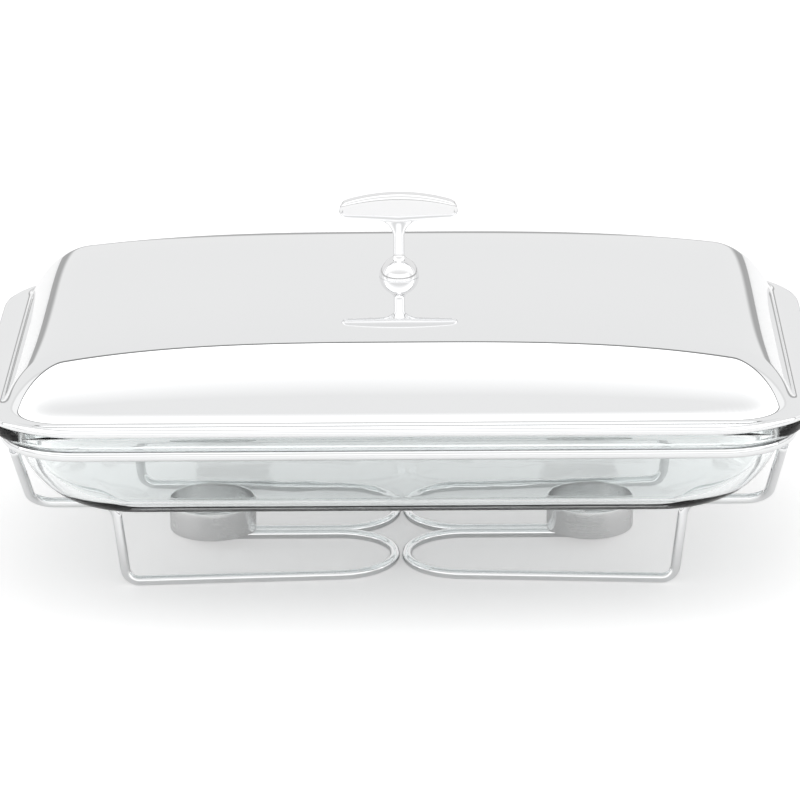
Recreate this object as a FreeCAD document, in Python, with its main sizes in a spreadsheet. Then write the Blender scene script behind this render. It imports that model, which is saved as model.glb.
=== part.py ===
import FreeCAD, Part
import math
import os
import Sketcher

# Rectangular chafing dish on a bent-wire stand with two tealight holders.
# Origin: on the table under the middle of the stand. X runs along the dish, -Y is the front, +Z is up.

SIZES = [
    ("ring_half_length", 191.5, "rim ring centreline"),
    ("ring_half_width", 126.2, "rim ring centreline"),
    ("ring_corner_radius", 37.0, "rim ring centreline"),
    ("ring_wire", 5.6, "rim ring wire diameter"),
    ("ring_height", 87.4, "rim ring centreline above the table"),
    ("leg_wire", 5.0, "leg wire diameter"),
    ("weld_depth", 0.5, "how far a leg wire reaches up the ring, which it is coped to fit"),
    ("leg_start_angle", 31.0, "degrees from the ring's end to the leg, round the corner arc"),
    ("step_height", 43.8, "centreline of the run under the dish"),
    ("step_outer_x", 181.5, "where the leg turns in under the dish"),
    ("step_y", 69.5, "the run under the dish, from the middle"),
    ("leg_top_x", 140.8, "where the leg turns down"),
    ("leg_foot_x", 135.8, "where the leg meets the table"),
    ("leg_foot_y", 70.0, "foot run at the leg"),
    ("foot_inner_y", 61.5, "foot run at the hairpin"),
    ("hairpin_tip_x", 3.1, "centreline of the hairpin's tip"),
    ("inner_run_y", 3.0, "run under the tealight holder"),
    ("inner_run_end_x", 103.0, "its cut end"),
    ("step_outer_bend", 12.0, "centreline bend radius"),
    ("leg_top_bend", 9.0, "centreline bend radius"),
    ("foot_bend", 7.0, "centreline bend radius"),
    ("hairpin_bend", 29.0, "centreline bend radius"),
    ("holder_x", 96.0, "tealight holder from the middle"),
    ("holder_radius", 22.0, "outside"),
    ("holder_depth", 14.6, "outside height"),
    ("holder_wall", 0.8, "sheet"),
    ("holder_edge_radius", 1.5, "outside bottom edge"),
    ("dish_bottom", 48.2, "underside of the glass above the table"),
    ("dish_rim_bottom", 90.6, "underside of the rim, just over the ring"),
    ("dish_rim_top", 97.2, "top of the rim"),
    ("dish_rim_half_length", 199.0, "outside"),
    ("dish_rim_half_width", 128.2, "outside"),
    ("dish_rim_corner", 41.0, "plan radius"),
    ("dish_rim_edge", 2.8, "rounding of the rim's edges"),
    ("dish_flat_half_length", 147.0, "flat of the bottom"),
    ("dish_flat_half_width", 94.5, "flat of the bottom"),
    ("dish_end_reach", 40.5, "curved end wall, from the flat to under the rim"),
    ("dish_side_edge_radius", 14.0, "bottom edge of the long sides"),
    ("dish_side_draft", 20.0, "degrees from upright"),
    ("dish_flat_corner", 26.0, "plan radius at the bottom"),
    ("dish_wall_corner", 36.0, "plan radius under the rim"),
    ("dish_wall", 5.0, "glass thickness"),
    ("dish_corner_tighten", 0.8, "share of the wall by which the inside corner is tighter"),
    ("lid_half_length", 206.5, "outside of the bead"),
    ("lid_half_width", 131.3, "outside of the bead"),
    ("lid_corner", 56.0, "plan radius of the bead"),
    ("lid_bead", 4.0, "diameter of the curled edge"),
    ("bead_drop", 0.1, "top of the bead below the flange"),
    ("lid_flange_top", 101.5, "flat flange above the table"),
    ("lid_top", 138.7, "middle of the lid above the table"),
    ("lid_sheet", 1.0, "steel sheet"),
    ("dome_half_length", 198.2, "foot of the dome"),
    ("dome_half_width", 124.6, "foot of the dome"),
    ("dome_shoulder_radius", 32.0, "convex shoulder"),
    ("dome_foot_radius", 8.0, "concave foot of the dome"),
    ("dome_slope", 58.0, "degrees, steepest wall"),
    ("dome_crown", 15.5, "rise of the crowned top"),
    ("dome_long_bend", 3.0, "crown's exponent along the lid: 2 is a plain arch"),
    ("dome_cross_bend", 5.0, "crown's exponent across the lid"),
    ("handle_base_radius", 10.0, "half-ball base"),
    ("handle_neck_radius", 2.9, "neck"),
    ("handle_neck_bottom", 9.0, "where the neck leaves the half ball"),
    ("handle_bar_bottom", 28.6, "middle of the bar's underside above the lid"),
    ("handle_bar_top", 43.4, "middle of the bar's top above the lid"),
    ("handle_bar_half_length", 29.8, "outside"),
    ("handle_end_bottom", 30.8, "underside at the bar's ends"),
    ("handle_end_top", 38.4, "top at the bar's ends"),
    ("handle_flare", 8.5, "fillet between bar and neck"),
    ("handle_thickness", 8.0, "front to back"),
    ("handle_edge", 2.6, "rounding of the bar's edges"),
    ("screw_radius", 2.5, "M5 thread"),
    ("screw_grip", 10.0, "thread inside the handle"),
    ("screw_head_radius", 4.75, "pan head"),
    ("screw_head_height", 3.4, "pan head"),
    ("screw_recess_radius", 1.6, "drive recess"),
    ("screw_recess_depth", 1.8, "drive recess"),
    ("washer_radius", 7.5, "steel washer"),
    ("washer_height", 1.0, "steel washer"),
    ("seal_radius", 7.0, "silicone seal"),
    ("seal_height", 1.4, "silicone seal"),
    ("screw_clearance", 0.2, "hole wider than the screw, in radius"),
    ("screw_head_bevel", 1.2, "height of the head's bevelled edge"),
    ("seal_play", 0.05, "seal below the lid, whose underside is slightly curved"),
    ("handle_end_round", 1.4, "how far the bar's rounded ends stand out"),
    ("handle_ball_blend", 4.0, "fillet between neck and half ball"),
    ("skin_fine_step", 4.2, "spacing of the lid's surface poles over its edge"),
    ("skin_coarse_step", 14.0, "spacing of the poles over the middle"),
    ("skin_fine_length", 140.0, "where the fine poles start, along"),
    ("skin_fine_width", 70.0, "where the fine poles start, across"),
    ("skin_overhang", 3.0, "how far the surface runs past the flange before it is trimmed"),
    ("trim_margin", 5.0, "room over and under the lid for the trimming block"),
]

doc = FreeCAD.newDocument("chafing_dish")
sheet = doc.addObject("Spreadsheet::Sheet", "Sizes")
for row, (alias, value, note) in enumerate(SIZES, start=1):
    sheet.set(f"A{row}", alias)
    sheet.set(f"B{row}", str(value))
    sheet.set(f"C{row}", note)
    sheet.setAlias(f"B{row}", alias)
doc.recompute()

nodes = []


def size(alias):
    """The number in the named cell."""
    return float(sheet.get(alias))


def cell(expression):
    """An expression in which every word that names a cell points at the sheet."""
    words = []
    for word in expression.replace("(", "( ").replace(")", " )").split():
        words.append(f"Sizes.{word}" if word in names else word)
    return " ".join(words)


names = {alias for alias, _, _ in SIZES}


def add_node(label, piece):
    """Names a finished piece and puts it on the list of files."""
    piece.Label = label
    nodes.append(piece)
    return piece


def origin_plane(body, role):
    return next(feature for feature in body.Origin.OriginFeatures if feature.Role == role)


def new_sketch(body, name, role="XY_Plane", height=None):
    sketch = body.newObject("Sketcher::SketchObject", name)
    sketch.AttachmentSupport = [(origin_plane(body, role), "")]
    sketch.MapMode = "FlatFace"
    if height:
        sketch.setExpression("AttachmentOffset.Base.z", cell(height))
    return sketch


def named_constraint(sketch, name, expression, *constraint):
    """Adds a dimension, names it and binds it to the sheet."""
    index = sketch.addConstraint(Sketcher.Constraint(*constraint))
    sketch.renameConstraint(index, name)
    sketch.setExpression(f"Constraints.{name}", cell(expression))


def rounded_rectangle(sketch, half_length, half_width, corner):
    """Four sides and four corner arcs about the sketch's origin; sizes are expressions."""
    a, b, r = 100.0, 60.0, 20.0
    z = FreeCAD.Vector(0, 0, 1)
    corners = [(a - r, b - r, 0), (r - a, b - r, 90), (r - a, r - b, 180), (a - r, r - b, 270)]
    arcs = []
    for x, y, start in corners:
        circle = Part.Circle(FreeCAD.Vector(x, y, 0), z, r)
        arc = Part.ArcOfCircle(circle, math.radians(start), math.radians(start + 90))
        arcs.append(sketch.addGeometry(arc))
    lines = []
    for index, (x, y, start) in enumerate(corners):
        turn = math.radians(start + 90)
        out = FreeCAD.Vector(r * math.cos(turn), r * math.sin(turn), 0)
        following = corners[(index + 1) % 4]
        first = FreeCAD.Vector(x, y, 0) + out
        last = FreeCAD.Vector(following[0], following[1], 0) + out
        lines.append(sketch.addGeometry(Part.LineSegment(first, last)))
    for index in range(4):
        sketch.addConstraint(Sketcher.Constraint("Tangent", arcs[index], 2, lines[index], 1))
        sketch.addConstraint(Sketcher.Constraint("Tangent", lines[index], 2, arcs[(index + 1) % 4], 1))
    for line in (lines[0], lines[2]):
        sketch.addConstraint(Sketcher.Constraint("Horizontal", line))
    for line in (lines[1], lines[3]):
        sketch.addConstraint(Sketcher.Constraint("Vertical", line))
    for index in range(1, 4):
        sketch.addConstraint(Sketcher.Constraint("Equal", arcs[0], arcs[index]))
    named_constraint(sketch, "corner", corner, "Radius", arcs[0], r)
    named_constraint(sketch, "top", half_width, "DistanceY", -1, 1, lines[0], 1, b)
    named_constraint(sketch, "left", half_length, "DistanceX", lines[1], 1, -1, 1, a)
    named_constraint(sketch, "bottom", half_width, "DistanceY", lines[2], 1, -1, 1, b)
    named_constraint(sketch, "right", half_length, "DistanceX", -1, 1, lines[3], 1, a)


def pipe_section(sketch, across, up, diameter):
    """A circle centred at (across, up) in the sketch; sizes are expressions."""
    circle = Part.Circle(FreeCAD.Vector(100, 60, 0), FreeCAD.Vector(0, 0, 1), 3)
    index = sketch.addGeometry(circle)
    named_constraint(sketch, "across", across, "DistanceX", -1, 1, index, 3, 100.0)
    named_constraint(sketch, "up", up, "DistanceY", -1, 1, index, 3, 60.0)
    named_constraint(sketch, "diameter", diameter, "Diameter", index, 6.0)


def bent_path(points, radii):
    """A wire of straight runs joined by tangent arcs; one radius for each inner point."""
    corners = [FreeCAD.Vector(*point) for point in points]
    edges = []
    start = corners[0]
    for before, corner, after, radius in zip(corners, corners[1:], corners[2:], radii):
        arrive = (corner - before).normalize()
        leave = (after - corner).normalize()
        half_turn = arrive.getAngle(leave) / 2
        reach = radius * math.tan(half_turn)
        arc_start = corner - arrive * reach
        arc_end = corner + leave * reach
        inward = (leave - arrive).normalize()
        arc_middle = corner + inward * (radius / math.cos(half_turn) - radius)
        if (arc_start - start).Length > 1e-6:
            edges.append(Part.LineSegment(start, arc_start).toShape())
        edges.append(Part.Arc(arc_start, arc_middle, arc_end).toShape())
        start = arc_end
    edges.append(Part.LineSegment(start, corners[-1]).toShape())
    return Part.Wire(edges)


def make_rim_ring():
    """The closed wire ring that carries the dish."""
    body = doc.addObject("PartDesign::Body", "RimRing")
    path = new_sketch(body, "RingPath", height="ring_height")
    rounded_rectangle(path, "ring_half_length", "ring_half_width", "ring_corner_radius")
    section = new_sketch(body, "RingSection", "YZ_Plane")
    pipe_section(section, "ring_half_width", "ring_height", "ring_wire")
    pipe = body.newObject("PartDesign::AdditivePipe", "RingPipe")
    pipe.Profile = section
    pipe.Spine = (path, [])
    body.Tip = pipe
    add_node("rim_ring", body)


def make_leg_wires(rim_ring):
    """Four bent wires: down from the ring, in under the dish, down, along the table and back."""
    arc_turn = math.radians(size("leg_start_angle"))
    corner = size("ring_corner_radius")
    start_x = size("ring_half_length") - corner + corner * math.cos(arc_turn)
    start_y = size("ring_half_width") - corner + corner * math.sin(arc_turn)
    start_z = size("ring_height") - size("ring_wire") / 2 + size("weld_depth")
    floor_z = size("leg_wire") / 2
    points = [
        (start_x, -start_y, start_z),
        (size("step_outer_x"), -size("step_y"), size("step_height")),
        (size("leg_top_x"), -size("step_y"), size("step_height")),
        (size("leg_foot_x"), -size("leg_foot_y"), floor_z),
        (size("hairpin_tip_x"), -size("foot_inner_y"), floor_z),
        (size("hairpin_tip_x"), -size("inner_run_y"), floor_z),
        (size("inner_run_end_x"), -size("inner_run_y"), floor_z),
    ]
    radii = [size(f"{bend}_bend") for bend in ("step_outer", "leg_top", "foot", "hairpin", "hairpin")]
    path = doc.addObject("Part::Feature", "LegPath")
    path.Shape = bent_path(points, radii)
    section = doc.addObject("Part::Circle", "LegSection")
    section.setExpression("Radius", cell("leg_wire / 2"))
    down = (FreeCAD.Vector(*points[1]) - FreeCAD.Vector(*points[0])).normalize()
    turn = FreeCAD.Rotation(FreeCAD.Vector(0, 0, 1), down)
    section.Placement = FreeCAD.Placement(FreeCAD.Vector(*points[0]), turn)
    sweep = doc.addObject("Part::Sweep", "LegSweep")
    sweep.Sections = [section]
    sweep.Spine = (path, [f"Edge{index + 1}" for index in range(len(path.Shape.Edges))])
    sweep.Solid = True
    sweep.Frenet = False
    # the wire's end is coped to the ring, to which it is welded
    coped = doc.addObject("Part::Cut", "LegCoped")
    coped.Base = sweep
    coped.Tool = rim_ring
    add_node("leg_wire_front_right", coped)
    mirrors = [
        ("leg_wire_front_left", coped, (1, 0, 0)),
        ("leg_wire_rear_right", coped, (0, 1, 0)),
    ]
    for label, source, normal in mirrors:
        mirror = doc.addObject("Part::Mirroring", label)
        mirror.Source = source
        mirror.Base = FreeCAD.Vector(0, 0, 0)
        mirror.Normal = FreeCAD.Vector(*normal)
        add_node(label, mirror)
    rear_left = doc.addObject("Part::Mirroring", "leg_wire_rear_left")
    rear_left.Source = nodes[-2]
    rear_left.Base = FreeCAD.Vector(0, 0, 0)
    rear_left.Normal = FreeCAD.Vector(0, 1, 0)
    add_node("leg_wire_rear_left", rear_left)
    wire_area = math.pi * (size("leg_wire") / 2) ** 2
    print(f"leg wire: {path.Shape.Length:.1f} mm long, section {wire_area:.2f} mm2")


def make_tealight_holder(label, side):
    """A shallow spun steel cup; side is -1 on the left and 1 on the right."""
    body = doc.addObject("PartDesign::Body", label)
    profile = new_sketch(body, f"{label}_profile", "XZ_Plane")
    radius, depth = size("holder_radius"), size("holder_depth")
    wall, edge = size("holder_wall"), size("holder_edge_radius")
    outer_centre = FreeCAD.Vector(radius - edge, edge, 0)
    normal = FreeCAD.Vector(0, 0, 1)
    quarter = (math.radians(270), math.radians(360))
    shape = [
        Part.LineSegment(FreeCAD.Vector(0, 0, 0), FreeCAD.Vector(radius - edge, 0, 0)),
        Part.ArcOfCircle(Part.Circle(outer_centre, normal, edge), *quarter),
        Part.LineSegment(FreeCAD.Vector(radius, edge, 0), FreeCAD.Vector(radius, depth, 0)),
        Part.LineSegment(FreeCAD.Vector(radius, depth, 0), FreeCAD.Vector(radius - wall, depth, 0)),
        Part.LineSegment(FreeCAD.Vector(radius - wall, depth, 0), FreeCAD.Vector(radius - wall, edge, 0)),
        Part.ArcOfCircle(Part.Circle(outer_centre, normal, edge - wall), *quarter),
        Part.LineSegment(FreeCAD.Vector(radius - edge, wall, 0), FreeCAD.Vector(0, wall, 0)),
        Part.LineSegment(FreeCAD.Vector(0, wall, 0), FreeCAD.Vector(0, 0, 0)),
    ]
    profile.addGeometry(shape)
    joins = [
        ("Tangent", 0, 2, 1, 1), ("Tangent", 1, 2, 2, 1), ("Coincident", 2, 2, 3, 1),
        ("Coincident", 3, 2, 4, 1), ("Tangent", 4, 2, 5, 2), ("Tangent", 5, 1, 6, 1),
        ("Coincident", 6, 2, 7, 1), ("Coincident", 7, 2, 0, 1), ("Coincident", 1, 3, 5, 3),
        ("Coincident", 0, 1, -1, 1), ("Horizontal", 0), ("Vertical", 2), ("Horizontal", 3),
        ("Vertical", 7),
    ]
    for join in joins:
        profile.addConstraint(Sketcher.Constraint(*join))
    named_constraint(profile, "edge", "holder_edge_radius", "Radius", 1, edge)
    named_constraint(profile, "radius", "holder_radius", "DistanceX", -1, 1, 2, 1, radius)
    named_constraint(profile, "depth", "holder_depth", "DistanceY", -1, 1, 2, 2, depth)
    named_constraint(profile, "wall", "holder_wall", "DistanceX", 3, 2, 3, 1, wall)
    spin = body.newObject("PartDesign::Revolution", f"{label}_spin")
    spin.Profile = profile
    spin.ReferenceAxis = (profile, ["V_Axis"])
    spin.Angle = 360
    body.Tip = spin
    sign = "-1 * " if side < 0 else ""
    body.setExpression("Placement.Base.x", cell(sign + "holder_x"))
    body.setExpression("Placement.Base.z", cell("leg_wire"))
    add_node(label, body)


def dish_wall_section(body, name, swing, inset):
    """One level of the glass wall: the ends follow a quarter ellipse, the long sides a
    rounded edge and then a straight draft. swing is the ellipse's angle in degrees."""
    rise = size("dish_rim_bottom") - size("dish_bottom")
    lift = (rise - inset) * (1 - math.cos(math.radians(swing)))
    edge = size("dish_side_edge_radius") - inset
    steepest = math.radians(90 - size("dish_side_draft"))
    edge_rise = edge * (1 - math.cos(steepest))
    wall = f"( {inset} )"
    climb = f"( dish_rim_bottom - dish_bottom - {wall} ) * ( 1 - cos( {swing} deg ) )"
    height = f"dish_bottom + {wall} + {climb}"
    half_length = f"dish_flat_half_length + ( dish_end_reach - {wall} ) * sin( {swing} deg )"
    round_edge = f"( dish_side_edge_radius - {wall} )"
    if lift < edge_rise:
        reach = f"sqrt( 2 * {round_edge} * {climb} - ( {climb} ) * ( {climb} ) )"
    else:
        turned = "cos( dish_side_draft * 1 deg )"
        flat = "( 1 - sin( dish_side_draft * 1 deg ) )"
        drafted = f"( {climb} - {round_edge} * {flat} ) * tan( dish_side_draft * 1 deg )"
        reach = f"{round_edge} * {turned} + {drafted}"
    half_width = f"dish_flat_half_width + {reach}"
    corner_growth = f"dish_wall_corner - dish_flat_corner - {wall} * dish_corner_tighten"
    corner = f"dish_flat_corner + ( {corner_growth} ) * sin( {swing} deg )"
    sketch = new_sketch(body, name, height=height)
    rounded_rectangle(sketch, half_length, half_width, corner)
    return sketch


def make_glass_dish():
    """A deep glass tray: curved ends, drafted long sides and a thick rim that sits on the ring."""
    body = doc.addObject("PartDesign::Body", "GlassDish")
    swings = [0, 12, 24, 37, 50, 63, 76, 90]
    outside = [dish_wall_section(body, f"WallOutside{swing}", swing, 0) for swing in swings]
    wall = body.newObject("PartDesign::AdditiveLoft", "WallOutside")
    wall.Profile = outside[0]
    wall.Sections = outside[1:]
    rim_outline = new_sketch(body, "RimOutline", height="dish_rim_bottom")
    rounded_rectangle(rim_outline, "dish_rim_half_length", "dish_rim_half_width", "dish_rim_corner")
    rim = body.newObject("PartDesign::Pad", "Rim")
    rim.Profile = rim_outline
    rim.setExpression("Length", cell("dish_rim_top - dish_rim_bottom"))
    doc.recompute()
    inset = size("dish_wall")
    inside = [dish_wall_section(body, f"WallInside{swing}", swing, inset) for swing in swings]
    hollow = body.newObject("PartDesign::SubtractiveLoft", "WallInside")
    hollow.Profile = inside[0]
    hollow.Sections = inside[1:]
    body.Tip = hollow
    doc.recompute()
    before = body.Shape.Volume
    mouth = body.newObject("PartDesign::Pocket", "Mouth")
    mouth.Profile = inside[-1]
    mouth.Reversed = True
    mouth.setExpression("Length", cell("dish_rim_top - dish_rim_bottom + 1"))
    body.Tip = mouth
    doc.recompute()
    print(f"dish mouth removes {before - body.Shape.Volume:.0f} mm3")
    rim_bottom, rim_top = size("dish_rim_bottom"), size("dish_rim_top")
    rim_edges = []
    for index, edge in enumerate(mouth.Shape.Edges, start=1):
        box = edge.BoundBox
        flat = box.ZLength < 0.01
        on_top = flat and abs(box.ZMax - rim_top) < 0.01
        wide = max(abs(box.XMax), abs(box.XMin)) > size("dish_rim_half_length") - 1
        wide = wide or max(abs(box.YMax), abs(box.YMin)) > size("dish_rim_half_width") - 1
        under_rim = flat and abs(box.ZMax - rim_bottom) < 0.01 and wide
        if on_top or under_rim:
            rim_edges.append(f"Edge{index}")
    rounding = body.newObject("PartDesign::Fillet", "RimRounding")
    rounding.Base = (mouth, rim_edges)
    rounding.setExpression("Radius", cell("dish_rim_edge"))
    body.Tip = rounding
    add_node("glass_dish", body)


def dome_height(x, y):
    """Height of the lid's skin over the flange at (x, y). The edge profile, a convex
    shoulder, a straight wall and a concave foot, is carried round the outline and turned
    about a point at each corner; the crown is added in the middle."""
    slope = math.radians(size("dome_slope"))
    shoulder, foot = size("dome_shoulder_radius"), size("dome_foot_radius")
    half_length, half_width = size("dome_half_length"), size("dome_half_width")
    crown_rise = size("dome_crown")
    rise = size("lid_top") - size("lid_flange_top") - crown_rise
    straight = (rise - (shoulder + foot) * (1 - math.cos(slope))) / math.sin(slope)
    width = (shoulder + foot) * math.sin(slope) + straight * math.cos(slope)
    out = math.hypot(max(abs(x) - half_length + width, 0), max(abs(y) - half_width + width, 0))
    if out >= width:
        return 0.0
    if out < shoulder * math.sin(slope):
        edge = rise - shoulder + math.sqrt(shoulder**2 - out**2)
    elif out < width - foot * math.sin(slope):
        wall_out = out - shoulder * math.sin(slope)
        edge = rise - shoulder * (1 - math.cos(slope)) - wall_out * math.tan(slope)
    else:
        edge = foot - math.sqrt(foot**2 - (width - out) ** 2)
    crown = 1 - abs(x / half_length) ** size("dome_long_bend")
    crown *= 1 - abs(y / half_width) ** size("dome_cross_bend")
    return edge * (1 + crown_rise / rise * crown)


def skin_stations(half, fine_from, fine_step, coarse_step):
    """Places along one axis, close together over the dome's edge and wider in the middle."""
    middle_count = round(2 * fine_from / coarse_step)
    edge_count = round((half - fine_from) / fine_step)
    middle = [fine_from * (2 * index / middle_count - 1) for index in range(1, middle_count)]
    edge = [fine_from + (half - fine_from) * index / edge_count for index in range(edge_count + 1)]
    return [-place for place in reversed(edge)] + middle + edge


def skin_face(drop, shrink):
    """One side of the sheet as a cubic surface whose poles lie at the computed heights."""
    steps = size("skin_fine_step"), size("skin_coarse_step")
    overhang = size("skin_overhang")
    stations_x = skin_stations(size("lid_half_length") + overhang, size("skin_fine_length"), *steps)
    stations_y = skin_stations(size("lid_half_width") + overhang, size("skin_fine_width"), *steps)
    wide, deep = 1 + shrink / size("dome_half_length"), 1 + shrink / size("dome_half_width")
    level = size("lid_flange_top") - drop
    poles = [
        [FreeCAD.Vector(x, y, level + dome_height(x * wide, y * deep)) for y in stations_y]
        for x in stations_x
    ]
    degree = 3
    knots, counts = [], []
    for stations in (stations_x, stations_y):
        spans = len(stations) - degree
        knots.append([index / spans for index in range(spans + 1)])
        counts.append([degree + 1] + [1] * (spans - 1) + [degree + 1])
    surface = Part.BSplineSurface()
    surface.buildFromPolesMultsKnots(
        poles, counts[0], counts[1], knots[0], knots[1], False, False, degree, degree
    )
    return surface.toShape()


def make_lid_shell():
    """Pressed steel lid: crowned dome, flat flange and a curled edge."""
    sheet_steel = size("lid_sheet")
    upper = skin_face(0, 0)
    lower = skin_face(sheet_steel, sheet_steel * math.tan(math.radians(size("dome_slope")) / 2))
    sides = []
    for edge in upper.Edges:
        middle = edge.CenterOfMass
        partner = min(lower.Edges, key=lambda other: (other.CenterOfMass - middle).Length)
        sides.append(Part.makeRuledSurface(edge, partner))
    shell = Part.makeShell([upper, lower] + sides)
    shell.sewShape()
    skin = doc.addObject("Part::Feature", "LidSkin")
    skin.Shape = Part.makeSolid(Part.Shell(shell.Faces))
    trim_body = doc.addObject("PartDesign::Body", "LidTrim")
    outline = new_sketch(trim_body, "FlangeOutline", height="lid_flange_top - trim_margin")
    bead = "( lid_bead / 2 )"
    outline_size = [f"lid_half_length - {bead}", f"lid_half_width - {bead}", f"lid_corner - {bead}"]
    rounded_rectangle(outline, *outline_size)
    trim = trim_body.newObject("PartDesign::Pad", "Trim")
    trim.Profile = outline
    trim.setExpression("Length", cell("lid_top - lid_flange_top + 2 * trim_margin"))
    sheet_part = doc.addObject("Part::Common", "LidSheet")
    sheet_part.Base = skin
    sheet_part.Tool = trim_body
    bead_body = doc.addObject("PartDesign::Body", "LidBead")
    bead_level = f"lid_flange_top - {bead} - bead_drop"
    path = new_sketch(bead_body, "BeadPath", height=bead_level)
    rounded_rectangle(path, *outline_size)
    section = new_sketch(bead_body, "BeadSection", "YZ_Plane")
    pipe_section(section, f"lid_half_width - {bead}", bead_level, "lid_bead")
    curl = bead_body.newObject("PartDesign::AdditivePipe", "Bead")
    curl.Profile = section
    curl.Spine = (path, [])
    bead_body.Tip = curl
    fused = doc.addObject("Part::Fuse", "LidWithBead")
    fused.Base = sheet_part
    fused.Tool = bead_body
    hole = doc.addObject("Part::Cylinder", "LidScrewHole")
    hole.setExpression("Radius", cell("screw_radius + screw_clearance"))
    hole.setExpression("Height", cell("lid_top + trim_margin"))
    lid = doc.addObject("Part::Cut", "LidShell")
    lid.Base = fused
    lid.Tool = hole
    add_node("lid_shell", lid)


def line_between(first, last):
    """A straight edge in a sketch between two (across, up) points."""
    return Part.LineSegment(FreeCAD.Vector(*first, 0), FreeCAD.Vector(*last, 0))


def arc_through(first, middle, last):
    """An arc in a sketch through three (across, up) points."""
    return Part.Arc(*[FreeCAD.Vector(*point, 0) for point in (first, middle, last)])


# how far the flare's arc reaches along the bar and down the neck, in flare radii; the bar's
# underside slopes, so the arc is a little short of a quarter circle
FLARE_REACH_ALONG = 0.95
FLARE_REACH_DOWN = 0.93


def make_lid_handle():
    """Cast T handle: a lens-shaped bar that flares into a neck on a half-ball base."""
    body = doc.addObject("PartDesign::Body", "LidHandle")
    outline = new_sketch(body, "BarOutline", "XZ_Plane")
    neck, flare = size("handle_neck_radius"), size("handle_flare")
    end_x = size("handle_bar_half_length") - size("handle_end_round")
    top_z, end_top = size("handle_bar_top"), size("handle_end_top")
    end_bottom, under_z = size("handle_end_bottom"), size("handle_bar_bottom")
    neck_z = size("handle_neck_bottom")
    flare_x = neck + flare * FLARE_REACH_ALONG
    end_out = size("handle_bar_half_length")
    end_middle = (end_top + end_bottom) / 2
    flare_low = under_z - flare * FLARE_REACH_DOWN
    off_chord = flare * (1 - math.sqrt(0.5))
    flare_middle_x, flare_middle_z = neck + off_chord, under_z - off_chord
    edges = [
        arc_through((end_x, end_top), (0, top_z), (-end_x, end_top)),
        arc_through((-end_x, end_top), (-end_out, end_middle), (-end_x, end_bottom)),
        line_between((-end_x, end_bottom), (-flare_x, under_z)),
        arc_through((-flare_x, under_z), (-flare_middle_x, flare_middle_z), (-neck, flare_low)),
        line_between((-neck, flare_low), (-neck, neck_z)),
        line_between((-neck, neck_z), (neck, neck_z)),
        line_between((neck, neck_z), (neck, flare_low)),
        arc_through((neck, flare_low), (flare_middle_x, flare_middle_z), (flare_x, under_z)),
        line_between((flare_x, under_z), (end_x, end_bottom)),
        arc_through((end_x, end_bottom), (end_out, end_middle), (end_x, end_top)),
    ]
    outline.addGeometry(edges)
    bar = body.newObject("PartDesign::Pad", "Bar")
    bar.Profile = outline
    bar.Midplane = True
    bar.setExpression("Length", cell("handle_thickness"))
    doc.recompute()
    edge_names = []
    for index, edge in enumerate(bar.Shape.Edges, start=1):
        box = edge.BoundBox
        if box.YLength < 0.01 and box.ZMax > neck_z + 0.01:
            edge_names.append(f"Edge{index}")
    rounding = body.newObject("PartDesign::Fillet", "BarRounding")
    rounding.Base = (bar, edge_names)
    rounding.setExpression("Radius", cell("handle_edge"))
    body.Tip = rounding
    doc.recompute()
    base = new_sketch(body, "BaseProfile", "XZ_Plane")
    ball = size("handle_base_radius")
    blend = size("handle_ball_blend")
    # the blend arc touches the neck and the half ball from outside
    blend_x = neck + blend
    blend_z = math.sqrt((ball + blend) ** 2 - blend_x**2)
    touch = ball / (ball + blend)
    touch_x, touch_z = blend_x * touch, blend_z * touch
    lean = math.atan2(blend_z, blend_x)
    middle_turn = math.pi + lean / 2
    middle_x = blend_x + blend * math.cos(middle_turn)
    middle_z = blend_z + blend * math.sin(middle_turn)
    ball_middle = (ball * math.cos(lean / 2), ball * math.sin(lean / 2))
    base.addGeometry([
        line_between((0, 0), (ball, 0)),
        arc_through((ball, 0), ball_middle, (touch_x, touch_z)),
        arc_through((touch_x, touch_z), (middle_x, middle_z), (neck, blend_z)),
        line_between((neck, blend_z), (0, blend_z)),
        line_between((0, blend_z), (0, 0)),
    ])
    spin = body.newObject("PartDesign::Revolution", "Base")
    spin.Profile = base
    spin.ReferenceAxis = (base, ["V_Axis"])
    spin.Angle = 360
    body.Tip = spin
    doc.recompute()
    before = body.Shape.Volume
    drill = new_sketch(body, "ScrewHoleOutline")
    centre, up = FreeCAD.Vector(0, 0, 0), FreeCAD.Vector(0, 0, 1)
    drill_circle = drill.addGeometry(Part.Circle(centre, up, size("screw_radius")))
    drill.addConstraint(Sketcher.Constraint("Coincident", drill_circle, 3, -1, 1))
    named_constraint(drill, "radius", "screw_radius", "Radius", drill_circle, size("screw_radius"))
    hole = body.newObject("PartDesign::Pocket", "ScrewHole")
    hole.Profile = drill
    hole.Reversed = True
    hole.setExpression("Length", cell("screw_grip + 1"))
    body.Tip = hole
    doc.recompute()
    print(f"handle screw hole removes {before - body.Shape.Volume:.0f} mm3")
    body.setExpression("Placement.Base.z", cell("lid_top"))
    add_node("lid_handle", body)


def make_ring_plate(label, radius, height, below):
    """A flat washer on the handle's axis; below is the expression for its underside."""
    body = doc.addObject("PartDesign::Body", label)
    outline = new_sketch(body, f"{label}_outline")
    centre, up = FreeCAD.Vector(0, 0, 0), FreeCAD.Vector(0, 0, 1)
    inner = "screw_radius + screw_clearance"
    for name, radius_expression, start in (("outer", radius, 7.0), ("inner", inner, 3.0)):
        circle = outline.addGeometry(Part.Circle(centre, up, start))
        outline.addConstraint(Sketcher.Constraint("Coincident", circle, 3, -1, 1))
        named_constraint(outline, name, radius_expression, "Radius", circle, start)
    plate = body.newObject("PartDesign::Pad", f"{label}_plate")
    plate.Profile = outline
    plate.setExpression("Length", cell(height))
    body.Tip = plate
    body.setExpression("Placement.Base.z", cell(below))
    add_node(label, body)


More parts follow.
